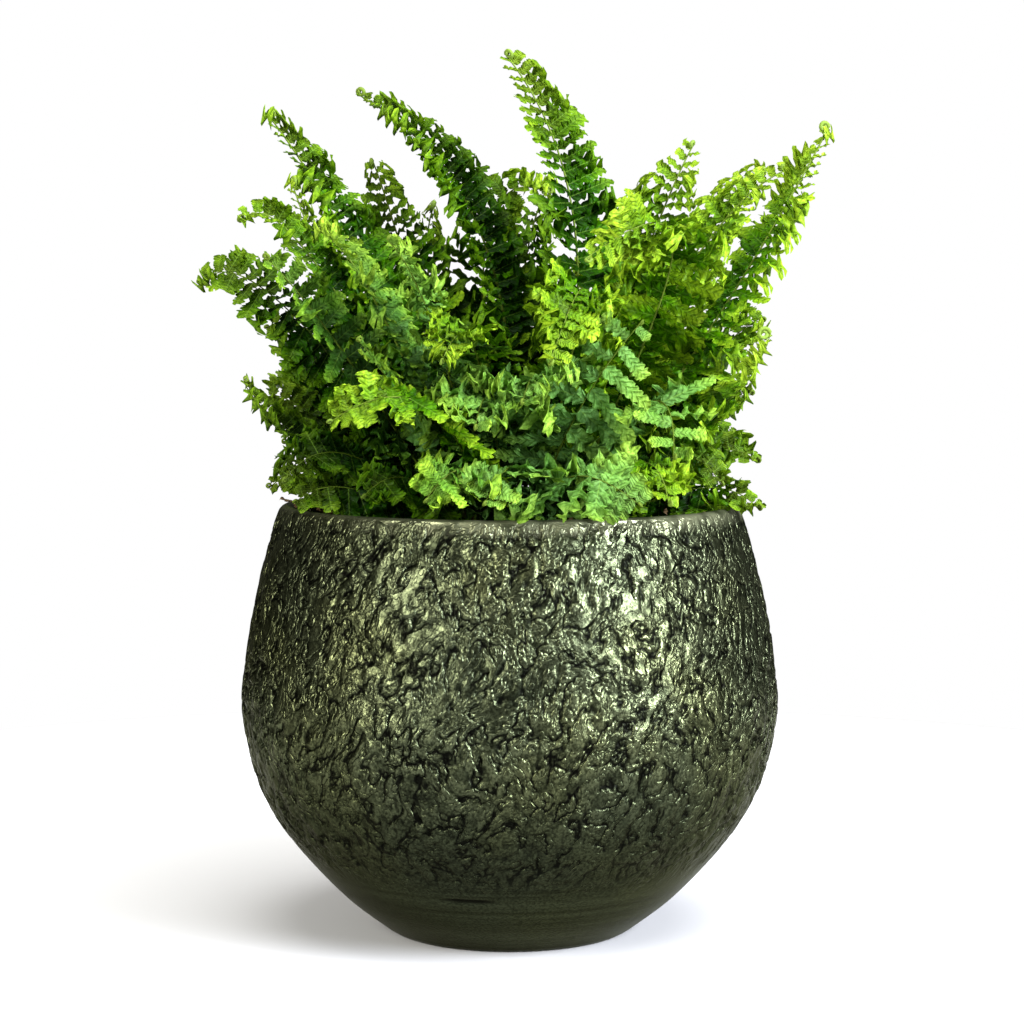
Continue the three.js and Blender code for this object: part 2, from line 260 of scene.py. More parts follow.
def crusted_glaze():
    """Reactive metallic glaze, fired over a wrinkled slip: dark in the crevices, partly as painted shade,
    and pale green-gold on top.
    """
    finish, tree = new_finish("crusted metallic glaze")
    place = put(tree, "TexCoord").outputs["Object"]
    # The relief attribute darkens the colour at the foot and in the crevices, partly as painted shade
    relief = put(tree, "Attribute", attribute_name="relief").outputs["Fac"]
    crust = put(tree, "Attribute", attribute_name="crust").outputs["Fac"]
    rubbed = put(tree, "Attribute", attribute_name="rubbed").outputs["Fac"]
    narrow, wide = crust_layers(tree, place)
    # The smooth bands have no wrinkles
    bare = put(tree, "Math", {0: 1.0, 1: crust}, operation="SUBTRACT").outputs[0]
    shown = put(tree, "Math", {0: narrow, 1: bare}, operation="MAXIMUM").outputs[0]
    height = put(tree, "Math", {0: relief, 1: shown}, operation="MULTIPLY").outputs[0]
    swell = put(tree, "Math", {0: wide, 1: bare}, operation="MAXIMUM").outputs[0]
    grit = put(tree, "TexNoise", {"Vector": place, "Scale": waves(0.87), "Detail": 3})
    patch = put(tree, "TexNoise", {"Vector": place, "Scale": waves(42), "Detail": 3})
    # Near black in the crevices: partly the glaze's own colour and partly painted shade
    glaze_colour_and_shade = put(
        tree,
        "ValToRGB",
        {"Fac": height},
        stops=[(0.05, "#020201"), (0.3, "#0d0f0a"), (0.62, "#353a2a"), (0.9, "#5e644c"), (1.0, "#8b8f77")],
    ).outputs["Color"]
    cloud = put(
        tree,
        "ValToRGB",
        {"Fac": patch.outputs["Fac"]},
        stops=[(0.36, "#5a6454"), (0.5, "#80826a"), (0.66, "#a59f64")],
    ).outputs["Color"]
    stained = put(tree, "MixRGB", {0: 0.4, 1: glaze_colour_and_shade, 2: cloud}, blend_type="OVERLAY").outputs[0]
    speck = put(
        tree, "ValToRGB", {"Fac": grit.outputs["Fac"]}, stops=[(0.36, "#5c5f52"), (0.6, "#ffffff")]
    ).outputs["Color"]
    gritty = put(tree, "MixRGB", {0: 0.75, 1: stained, 2: speck}, blend_type="MULTIPLY").outputs[0]
    # Faint lines from the wheel, about 1.4 mm apart, show in the smooth foot
    drawn_out = put(
        tree, "Mapping", {"Vector": place, "Scale": (waves(111), waves(111), waves(1.428))}
    ).outputs[0]
    wheel = put(tree, "TexNoise", {"Vector": drawn_out, "Scale": 1.0, "Detail": 2})
    line = put(
        tree, "ValToRGB", {"Fac": wheel.outputs["Fac"]}, stops=[(0.38, "#b4b4a8"), (0.6, "#ffffff")]
    ).outputs["Color"]
    lined = put(tree, "MixRGB", {0: bare, 1: gritty, 2: line}, blend_type="MULTIPLY").outputs[0]
    colour = put(tree, "MixRGB", {0: rubbed, 1: lined, 2: paint("#5f624a")}).outputs[0]
    shine = put(tree, "MapRange", {"Value": rubbed, "To Min": 0.95, "To Max": 0.55}).outputs[0]
    rough = put(tree, "MapRange", {"Value": height, "To Min": 0.5, "To Max": 0.28}).outputs[0]
    puffed = put(tree, "Bump", {"Height": swell, "Strength": 1.0, "Distance": 0.9 * MM}).outputs[0]
    bump = put(
        tree,
        "Bump",
        {"Height": grit.outputs["Fac"], "Strength": 0.6, "Distance": 0.2 * MM, "Normal": puffed},
    ).outputs[0]
    body = put(
        tree, "BsdfPrincipled", {"Base Color": colour, "Roughness": rough, "Normal": bump, "Metallic": shine}
    )
    # The crust has no bright edge as clean metal would
    body.inputs["Specular Tint"].default_value = paint("#cfcfc2")
    put(tree, "OutputMaterial", {"Surface": body.outputs[0]})
    return finish


def leaf_veins(tree, leaf_map, wobble):
    """How puffed up a leaflet is between its side veins, and where its veins show.

    The middle vein lies along v = 0.5. Side veins slant out from it, one in each fold of the pleated blade.
    """
    split = put(tree, "SeparateXYZ", {"Vector": leaf_map})
    across = put(tree, "Math", {0: split.outputs["Y"], 1: 0.5}, operation="SUBTRACT")
    off = put(tree, "Math", {0: across.outputs[0]}, operation="ABSOLUTE").outputs[0]
    slant = put(tree, "Math", {0: off, 1: -0.22, 2: split.outputs["X"]}, operation="MULTIPLY_ADD").outputs[0]
    loose = put(tree, "Math", {0: wobble, 1: 0.08, 2: slant}, operation="MULTIPLY_ADD").outputs[0]
    beat = put(tree, "Math", {0: loose, 1: math.tau * LEAFLET_LOBES}, operation="MULTIPLY")
    wave = put(tree, "Math", {0: beat.outputs[0]}, operation="COSINE").outputs[0]
    puffed = put(tree, "MapRange", {"Value": wave, "From Min": 1.0, "From Max": -0.2}).outputs[0]
    side_vein = put(tree, "MapRange", {"Value": wave, "From Min": 0.7, "From Max": 1.0}).outputs[0]
    mid_vein = put(tree, "MapRange", {"Value": off, "From Min": 0.045, "From Max": 0.015}).outputs[0]
    faint = put(tree, "Math", {0: side_vein, 1: 0.1}, operation="MULTIPLY").outputs[0]
    veins = put(tree, "Math", {0: faint, 1: mid_vein}, operation="MAXIMUM").outputs[0]
    shown = put(tree, "Math", {0: veins, 1: 0.35}, operation="MULTIPLY").outputs[0]
    return puffed, shown


def fern_leaf():
    """Living fern blade: waxy upper skin, light shining through, paler veins, young growth yellow-green."""
    finish, tree = new_finish("living fern blade")
    place = put(tree, "TexCoord").outputs
    tint = put(tree, "Attribute", attribute_name="tint").outputs["Fac"]
    young = put(tree, "Attribute", attribute_name="young").outputs["Fac"]
    stem = put(tree, "Attribute", attribute_name="stem").outputs["Fac"]
    blue = put(tree, "Attribute", attribute_name="blue").outputs["Fac"]
    green = put(
        tree,
        "ValToRGB",
        {"Fac": tint},
        stops=[(0.0, "#0c2600"), (0.35, "#234c00"), (0.65, "#437400"), (1.0, "#80a11c")],
    ).outputs["Color"]
    # Painted sheen: a paler, bluer green stands for the gloss on the front leaflets
    sky_sheen = put(tree, "MixRGB", {0: blue, 1: green, 2: paint("#74a05e")}).outputs[0]
    mottle = put(
        tree, "TexNoise", {"Vector": place["Object"], "Scale": waves(3.85), "Detail": 3}
    ).outputs["Fac"]
    speckle = put(
        tree, "ValToRGB", {"Fac": mottle}, stops=[(0.3, "#b4c496"), (0.7, "#ffffff")]
    ).outputs["Color"]
    blotched = put(tree, "MixRGB", {0: 0.55, 1: sky_sheen, 2: speckle}, blend_type="MULTIPLY").outputs[0]
    fresh = put(tree, "MixRGB", {0: young, 1: blotched, 2: paint("#8fa72a")}).outputs[0]
    # The blade is finely quilted between its smallest veins, about a millimetre apart
    quilt = put(
        tree, "TexNoise", {"Vector": place["Object"], "Scale": waves(1.22), "Detail": 3}
    ).outputs["Fac"]
    dimple = put(
        tree, "ValToRGB", {"Fac": quilt}, stops=[(0.38, "#93a878"), (0.6, "#ffffff")]
    ).outputs["Color"]
    quilted = put(tree, "MixRGB", {0: 0.7, 1: fresh, 2: dimple}, blend_type="MULTIPLY").outputs[0]
    puffed, veins = leaf_veins(tree, place["UV"], mottle)
    # Painted shade: the colour darkens in the folds between the puffed parts of a leaflet
    fold_shade = put(
        tree, "ValToRGB", {"Fac": puffed}, stops=[(0.0, "#9caa7c"), (0.4, "#f0f5e4"), (0.8, "#ffffff")]
    ).outputs["Color"]
    pleated = put(tree, "MixRGB", {0: 0.8, 1: quilted, 2: fold_shade}, blend_type="MULTIPLY").outputs[0]
    veined = put(tree, "MixRGB", {0: veins, 1: pleated, 2: paint("#64882e")}).outputs[0]
    stalk = put(
        tree, "ValToRGB", {"Fac": young}, stops=[(0.0, "#37480f"), (0.14, "#5a6e24"), (0.5, "#76913c")]
    ).outputs["Color"]
    colour = put(tree, "MixRGB", {0: stem, 1: veined, 2: stalk}).outputs[0]
    pleat = put(tree, "Bump", {"Height": puffed, "Strength": 0.6, "Distance": 0.4 * MM}).outputs[0]
    bump = put(
        tree, "Bump", {"Height": quilt, "Strength": 0.7, "Distance": 0.5 * MM, "Normal": pleat}
    ).outputs[0]
    skin = put(tree, "BsdfPrincipled", {"Base Color": colour, "Roughness": 0.42, "Normal": bump})
    skin.inputs["IOR"].default_value = 1.36
    skin.inputs["Specular IOR Level"].default_value = 0.09
    lit = put(tree, "MixRGB", {0: 1.0, 1: colour, 2: paint("#e8ff9a")}, blend_type="MULTIPLY").outputs[0]
    glow = put(tree, "BsdfTranslucent", {"Color": lit, "Normal": bump})
    both = put(tree, "MixShader", {0: 0.18, 1: skin.outputs[0], 2: glow.outputs[0]})
    put(tree, "OutputMaterial", {"Surface": both.outputs[0]})
    return finish


def moist_peat():
    """Moist peat and fibre: nearly black, matt, with paler crumbs about 3 mm wide."""
    finish, tree = new_finish("moist peat")
    place = put(tree, "TexCoord").outputs["Object"]
    clod = put(tree, "TexNoise", {"Vector": place, "Scale": waves(3.125), "Detail": 5}).outputs["Fac"]
    colour = put(
        tree, "ValToRGB", {"Fac": clod}, stops=[(0.3, "#120c08"), (0.55, "#2b1e13"), (0.75, "#4d3a26")]
    ).outputs["Color"]
    bump = put(tree, "Bump", {"Height": clod, "Strength": 0.9, "Distance": 1 * MM}).outputs[0]
    body = put(tree, "BsdfPrincipled", {"Base Color": colour, "Roughness": 0.9, "Normal": bump})
    put(tree, "OutputMaterial", {"Surface": body.outputs[0]})
    return finish


def dry_scale():
    """Papery brown scales, runners and withered leaflets around the foot of the stalks, streaked by 2 mm."""
    finish, tree = new_finish("dry fern scale")
    place = put(tree, "TexCoord").outputs["Object"]
    tint = put(tree, "Attribute", attribute_name="tint").outputs["Fac"]
    streak = put(tree, "TexNoise", {"Vector": place, "Scale": waves(2), "Detail": 3})
    base = put(
        tree,
        "ValToRGB",
        {"Fac": tint},
        stops=[(0.0, "#141c06"), (0.3, "#263209"), (0.5, "#4d381c"), (1.0, "#8a6f3e")],
    ).outputs["Color"]
    shade = put(
        tree, "ValToRGB", {"Fac": streak.outputs["Fac"]}, stops=[(0.3, "#6b6b6b"), (0.7, "#ffffff")]
    ).outputs["Color"]
    colour = put(tree, "MixRGB", {0: 0.8, 1: base, 2: shade}, blend_type="MULTIPLY").outputs[0]
    body = put(tree, "BsdfPrincipled", {"Base Color": colour, "Roughness": 0.8})
    put(tree, "OutputMaterial", {"Surface": body.outputs[0]})
    return finish


def pale_paper():
    """The matt paper that the pot stands on."""
    finish, tree = new_finish("pale paper sweep")
    body = put(tree, "BsdfPrincipled", {"Base Color": paint("#adadad"), "Roughness": 0.9})
    put(tree, "OutputMaterial", {"Surface": body.outputs[0]})
    return finish


GLAZE = crusted_glaze()
LEAF = fern_leaf()
PEAT = moist_peat()
DRY = dry_scale()


def finish_piece(piece, name, finish, node):
    piece.name = name
    piece.data.name = name
    piece.data.materials.clear()
    piece.data.materials.append(finish)
    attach(piece, "root")
    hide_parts(node)


# Pot. The wall and the hollow are points of radius and height that a smooth curve runs through
POT_HEIGHT = 152.0
POT_FOOT = 43.5
POT_LIP = 79.4
LIP_ROUND = 2.9
POT_FLOOR = 9.0
POT_WALL = [
    (45.8, 1.4), (60.8, 13.5), (77.4, 32), (89.2, 51.5), (95.2, 76), (94.4, 97), (89.8, 122.5), (83.4, 146)
]
POT_HOLLOW = [(50, 9), (68, 31), (82, 53), (88.2, 76), (87.6, 97), (83, 122.5), (76.9, 146)]
WALL_STEPS = 124
HOLLOW_STEPS = 16
AROUND = 560

# Heights between which the crust sets in, ends again below the lip, and the lip is rubbed
CRUST_SETS_IN = (22, 44)
CRUST_ENDS = (149.5, 151.6)
LIP_RUBBED = (147.6, 150.4)
CRUST_DEPTH = 0.6
CRUST_LEAN = 24
# The dark foot band: how light its colour is, where 1 is lightest, and the height where it ends. Its
# darkness is partly the glaze's own colour and partly painted shade
FOOT_SHADE = 0.62
FOOT_BAND = 60
SCRAPE_HEIGHT = 24.5
SCRAPE_MIDDLE = -14
SCRAPE_DEPTH = 0.5


def glaze_relief(place):
    """Depth of the crust at a place on the wall, in millimetres, and how light its colour is there: darker
    to the foot and in the crevices, partly as painted shade.
    """
    p = Vector(place)
    lean = math.radians(CRUST_LEAN)
    across = p.x * math.cos(lean) - p.z * math.sin(lean)
    upward = p.x * math.sin(lean) + p.z * math.cos(lean)
    stretched = Vector((across, p.y, upward * 0.6))
    # Wrinkles about 8 and 3.4 mm wide. On smooth patches about 17 mm wide they are shallow
    bend = noise.noise_vector(p / 10.0)
    patch = smooth_step(-0.1, 0.45, noise.noise(p / 17.0 + Vector((5, 9, 40))))
    ridge = abs(noise.fractal(stretched / 8 + bend * 0.7, 0.9, 2.1, 2))
    small = abs(noise.noise(stretched / 3.4 + Vector((50, 2, 1))))
    depth = 0.8 * smooth_step(0.0, 0.3, ridge) + 0.25 * smooth_step(0.0, 0.35, small) * (1 - 0.6 * patch)
    # Painted shade, in part: the colour darkens towards the foot and in the crevices of the wrinkles
    rise = FOOT_SHADE + (1 - FOOT_SHADE) * smooth_step(CRUST_SETS_IN[0], 90, p.z)
    tone_with_painted_shade = 0.7 + 0.3 * smooth_step(0.0, 0.12, ridge)
    return (depth - CRUST_DEPTH) * (1 - 0.45 * patch), 0.85 * rise * tone_with_painted_shade


def scrape_share(x, y, z):
    """1 in a thin slanting scrape in the smooth band, left of the front, and 0 away from it."""
    off = np.abs(z - SCRAPE_HEIGHT - 0.05 * x) + 0.04 * np.abs(x - SCRAPE_MIDDLE)
    return (1 - smooth_step(0.3, 1.0, off)) * (y < 0)


def rubbed_share(places):
    """How far the lip is rubbed to the pale clay: in spots, and most of it from the middle to the right."""
    x, z = places[:, 0], places[:, 2]
    rubbed = smooth_step(*LIP_RUBBED, z) * (0.2 + 0.8 * smooth_step(-62, -8, x))
    for i in np.nonzero(rubbed > 0)[0]:
        rubbed[i] *= min(1, max(0, 0.75 + 1.3 * noise.noise(Vector(places[i]) / 7.0)))
    return rubbed


def build_pot():
    outside = smooth_path(POT_WALL, WALL_STEPS)
    lip = []
    for angle in range(10, 180, 20):
        turn = math.radians(angle)
        wide, high = math.cos(turn) * LIP_ROUND, math.sin(turn) * LIP_ROUND
        lip.append((POT_LIP + wide, POT_HEIGHT - LIP_ROUND + high))
    inside = smooth_path(POT_HOLLOW, HOLLOW_STEPS)[::-1]
    piece = turned("pot", [(POT_FOOT, 0), *outside, *lip, *inside], AROUND)
    mesh = piece.data
    places = points_of(mesh) / MM
    normals = np.array([tuple(v.normal) for v in mesh.vertices])
    x, y, z = places.T
    outer = ((normals[:, 0] * x + normals[:, 1] * y) > 0) & (np.hypot(x, y) > POT_FOOT + 0.5)
    crust = np.where(outer, smooth_step(*CRUST_SETS_IN, z) * (1 - smooth_step(*CRUST_ENDS, z)), 0)
    # The colour is darker in the foot band and in the crevices: partly the glaze's own colour, partly
    # painted shade
    relief = np.where(z < FOOT_BAND, FOOT_SHADE, 1.0)
    for i in np.nonzero(crust > 0)[0]:
        depth, tone_with_painted_shade = glaze_relief(places[i])
        places[i] += normals[i] * depth * crust[i]
        relief[i] += (tone_with_painted_shade - relief[i]) * crust[i]
    scrape = scrape_share(x, y, z)
    relief *= 1 - 0.9 * scrape
    places -= normals * (SCRAPE_DEPTH * scrape)[:, None]
    note_numbers(mesh, "rubbed", rubbed_share(places))
    note_numbers(mesh, "relief", relief)
    note_numbers(mesh, "crust", crust)
    move_points(mesh, places)
    finish_piece(piece, "crusted_pot", GLAZE, "pot")


# Soil and rhizome. The soil is heaped from the wall to the recess that the rhizome, a low dome, sits in
SOIL_TOP = 136.0
SOIL_RISE = 3.0
SOIL_FOOT = 48.5
SOIL_RINGS = 30
WALL_GAP = 0.5
FIT_GAP = 0.4
CRUMBS = 420
CROWN_RADIUS = 31.0
CROWN_SINK = 5.0
CROWN_RISE = 8.0
CROWN_RINGS = 20


def crown_top(radius):
    share = min(1, radius / CROWN_RADIUS)
    return SOIL_TOP + SOIL_RISE + CROWN_RISE * (1 - share**2.4) - 1


class Heap:
    """Gathers copies of small shapes into one mesh, with numbers for each point."""

    def __init__(self):
        self.points, self.faces, self.uvs, self.numbers, self.count = [], [], [], [], 0

    def add(self, points, faces, uv, numbers):
        self.points.append(points)
        self.faces.extend((faces + self.count).tolist())
        self.uvs.append(uv)
        self.numbers.append(np.broadcast_to(numbers, (len(points), np.shape(numbers)[-1])))
        self.count += len(points)

    def mesh(self, name, titles):
        made = bpy.data.meshes.new(name)
        made.from_pydata(np.concatenate(self.points) * MM, [], self.faces)
        uv = np.concatenate(self.uvs)
        loops = np.empty(len(made.loops), dtype=int)
        made.loops.foreach_get("vertex_index", loops)
        made.uv_layers.new(name="leaf").data.foreach_set("uv", uv[loops].ravel())
        for title, column in zip(titles, np.concatenate(self.numbers).T):
            note_numbers(made, title, column)
        made.shade_smooth()
        return made


def crumb_shape(seed):
    """A clod: a small ball pushed out of round."""
    bpy.ops.mesh.primitive_ico_sphere_add(subdivisions=2, radius=1)
    piece = bpy.context.object
    bpy.ops.object.mode_set(mode="EDIT")
    bpy.ops.mesh.select_all(action="SELECT")
    bpy.ops.transform.vertex_random(offset=0.22, uniform=0.4, normal=0.6, seed=seed)
    bpy.ops.object.mode_set(mode="OBJECT")
    shape = points_of(piece.data).copy(), corners_of(piece.data)
    bpy.data.objects.remove(piece)
    return shape


def random_turn():
    upright = Matrix.Rotation(random.uniform(0, math.tau), 3, "Z")
    return np.array(upright @ Matrix.Rotation(random.uniform(0, math.tau), 3, "X"))


def roughen(places, chosen, rise, width, small_rise, small_width):
    """Lifts and sinks the chosen places by large and small bumps, sized in millimetres."""
    for i in np.nonzero(chosen)[0]:
        p = Vector(places[i])
        places[i, 2] += rise * noise.noise(p / width) + small_rise * noise.noise(p / small_width)


def build_soil():
    side = [(r - WALL_GAP, z) for r, z in smooth_path(POT_HOLLOW, 30) if POT_FLOOR + 1 < z < SOIL_TOP - 1]
    edge = side[-1][0]
    brim = edge - FIT_GAP
    outline = [(SOIL_FOOT, POT_FLOOR + FIT_GAP), *side, (brim, SOIL_TOP)]
    for k in range(1, SOIL_RINGS):
        share = k / SOIL_RINGS
        radius = brim - (edge - 2 - CROWN_RADIUS) * share
        outline.append((radius, SOIL_TOP + SOIL_RISE * min(1, share * 1.3)))
    recess = SOIL_TOP + SOIL_RISE - CROWN_SINK
    outline += [(CROWN_RADIUS + FIT_GAP, recess), (6, recess)]
    piece = turned("soil", outline, 180)
    places = points_of(piece.data) / MM
    x, y, z = places.T
    roughen(places, (z > SOIL_TOP - 0.5) & (np.hypot(x, y) < edge - 2), 1.6, 7.0, 0.9, 2.4)
    move_points(piece.data, places)
    heap = Heap()
    shapes = [crumb_shape(seed) for seed in (1, 2, 3)]
    for _ in range(CRUMBS):
        around = random.uniform(0, math.tau)
        radius = random.uniform(CROWN_RADIUS + 1, edge - 2.5)
        size = random.uniform(0.6, 1.9)
        points, faces = random.choice(shapes)
        spot = np.array((math.cos(around) * radius, math.sin(around) * radius, SOIL_TOP + 2.6 + size * 0.1))
        heap.add(points @ random_turn().T * size + spot, faces, np.zeros((len(points), 2)), [0.5])
    join_to(piece, add_object("clods", heap.mesh("clods", ["tint"])))
    finish_piece(piece, "crumbly_soil", PEAT, "soil")


# Leaflets. Every third column of their grid is a notch between two round lobes
LOBE_COLUMNS = 3
LEAFLET_COLUMNS = LOBE_COLUMNS * LEAFLET_LOBES
LEAFLET_ROWS = 4
LEAFLET_LEAN = 0.3


def leaflet_width(u, crest):
    """Width at a share of the length: a short neck, a rounded end, and a crest (or, below 0, a taper)."""
    neck = smooth_step(-0.14, 0.1, u)
    end = math.sqrt(max(0.0, 1 - max(0.0, (u - 0.79) / 0.215) ** 2.6))
    return float(neck * end * (0.82 + crest * smooth_step(0.3, 0.9, u)))


def select_where(mesh, test):
    for point in mesh.verts:
        point.select_set(test(point.co))
    mesh.select_flush_mode()


def ruffle_leaflet(mesh, crest, tooth, puff, ruffle, waviness, draw):
    """Pulls a flat grid into shape column by column: its width, its lobes and the waves of its edges."""
    left, right = draw.uniform(0, math.tau), draw.uniform(0, math.tau)
    for column in range(LEAFLET_COLUMNS + 1):
        u = column / LEAFLET_COLUMNS
        width = leaflet_width(u, crest)
        select_where(mesh, lambda co: abs(co.x - u) < 1e-3)
        bpy.ops.transform.resize(value=(1, width, 1), center_override=(u, 0, 0))
        lobe = -1 if column % LOBE_COLUMNS == 0 else 0.5
        # Crested leaflets are waved more to their ends
        wild = 1 + max(0.0, crest) * 1.6 * float(smooth_step(0.4, 0.9, u))
        for sign, phase in ((1, left), (-1, right)):
            reach = tooth * lobe * width * draw.uniform(0.7, 1.3)
            wave = math.sin(math.tau * waviness * u + phase)
            slow = ruffle * float(smooth_step(0.05, 0.4, u)) * wave * wild
            for row, share, bulge in ((2, 1.0, 0.6), (1, 0.4, 1.0)):
                near = (row - 0.5) / LEAFLET_ROWS * width
                far = (row + 0.5) / LEAFLET_ROWS * width
                select_where(mesh, lambda co: abs(co.x - u) < 1e-3 and near < sign * co.y <= far)
                if any(point.select for point in mesh.verts):
                    rise = share * (slow + draw.gauss(0, 0.06))
                    rise += puff * draw.uniform(0.3, 1.7) * lobe * bulge * width
                    bpy.ops.transform.translate(value=(0, sign * reach * share, rise))


def lean_lobes(mesh, draw):
    """Leans the side veins, and the lobes with them, towards the end. No two lobes are alike."""
    mesh.verts.ensure_lookup_table()
    for sign in (1, -1):
        shift = [draw.uniform(-0.35, 0.35) for lobe in range(LEAFLET_LOBES)]
        for row, share in ((2, 1.0), (1, 0.45)):
            for column in range(1, LEAFLET_COLUMNS):
                point = mesh.verts[(LEAFLET_ROWS // 2 + sign * row) * (LEAFLET_COLUMNS + 1) + column]
                point.co.x += (LEAFLET_LEAN + shift[column // LOBE_COLUMNS]) * share / LEAFLET_LOBES


def make_leaflet(crest, tooth, puff, ruffle, waviness, curl, seed):
    """One leaflet of length 1 along +X and width 1, as points, faces and places on its own leaf map."""
    draw = random.Random(seed)
    bpy.ops.mesh.primitive_grid_add(x_subdivisions=LEAFLET_COLUMNS, y_subdivisions=LEAFLET_ROWS, size=1)
    piece = bpy.context.object
    bpy.ops.object.mode_set(mode="EDIT")
    bpy.ops.mesh.select_all(action="SELECT")
    bpy.ops.transform.translate(value=(0.5, 0, 0))
    mesh = bmesh.from_edit_mesh(piece.data)
    ruffle_leaflet(mesh, crest, tooth, puff, ruffle, waviness, draw)
    lean_lobes(mesh, draw)
    bmesh.update_edit_mesh(piece.data)
    bpy.ops.object.mode_set(mode="OBJECT")
    bend = piece.modifiers.new("curl", "SIMPLE_DEFORM")
    bend.deform_method = "BEND"
    bend.deform_axis = "Y"
    bend.angle = curl
    bpy.ops.object.modifier_apply(modifier=bend.name)
    points = points_of(piece.data).copy()
    points -= points[(LEAFLET_ROWS // 2) * (LEAFLET_COLUMNS + 1)]
    faces = corners_of(piece.data)
    along, across = np.meshgrid(np.linspace(0, 1, LEAFLET_COLUMNS + 1), np.linspace(0, 1, LEAFLET_ROWS + 1))
    bpy.data.objects.remove(piece)
    return points, faces, np.stack([along.ravel(), across.ravel()], 1)


# Crest, tooth, puff, ruffle, waviness and curl. The first three taper, the next five end in a crest, and the
# last three are wavy fans with hardly a tooth
LEAFLET_SHAPES = [
    (-0.20, 0.10, 0.035, 0.34, 2.4, 0.9),
    (-0.05, 0.12, 0.045, 0.42, 2.9, -0.6),
    (-0.15, 0.10, 0.035, 0.38, 2.1, 1.3),
    (0.05, 0.12, 0.045, 0.44, 3.2, 0.6),
    (0.22, 0.11, 0.045, 0.42, 2.6, 1.6),
    (0.35, 0.12, 0.045, 0.42, 3.0, 1.1),
    (0.15, 0.11, 0.045, 0.40, 2.3, -0.9),
    (0.42, 0.12, 0.045, 0.42, 3.3, 2.0),
    (0.15, 0.05, 0.02, 0.42, 1.5, 1.2),
    (0.30, 0.04, 0.02, 0.46, 1.9, -0.9),
    (0.22, 0.05, 0.02, 0.40, 1.3, 1.7),
]
LEAFLETS = [make_leaflet(*shape, seed) for seed, shape in enumerate(LEAFLET_SHAPES, 1)]
# Which of them grow long, middling and short, and the lengths that part those
LONG_SHAPES, MIDDLING_SHAPES, SHORT_SHAPES = (0, 5), (2, 8), (8, 11)
LONG_FROM, MIDDLING_FROM = 13, 9.5

# Fronds. A share of each stalk is bare, and its leaflets sweep to the tip and turn like slats, in degrees
BARE_SHARE = 0.2
SWEEP = 10
SLAT = 42
STALK_RINGS = 34
STALK_SIDES = 6
STALK_SHARES = (0, 0.25, 0.6, 1)
STALK_RADII = (1.05, 0.68, 0.42, 0.28)
CROZIER_RINGS = 16
CROZIER_TURNS = 1.35
CROZIER_DRIFT = 0.036
LEAF_NUMBERS = ["tint", "young", "stem", "blue"]
# Fronds whose broad leaflets lie flat and in order, and how much farther apart they are
CALM_FRONDS = {"front_right": 2.0, "front_mid_right": 1.6, "left_leaning": 1.6, "front_inner_left": 1.5}
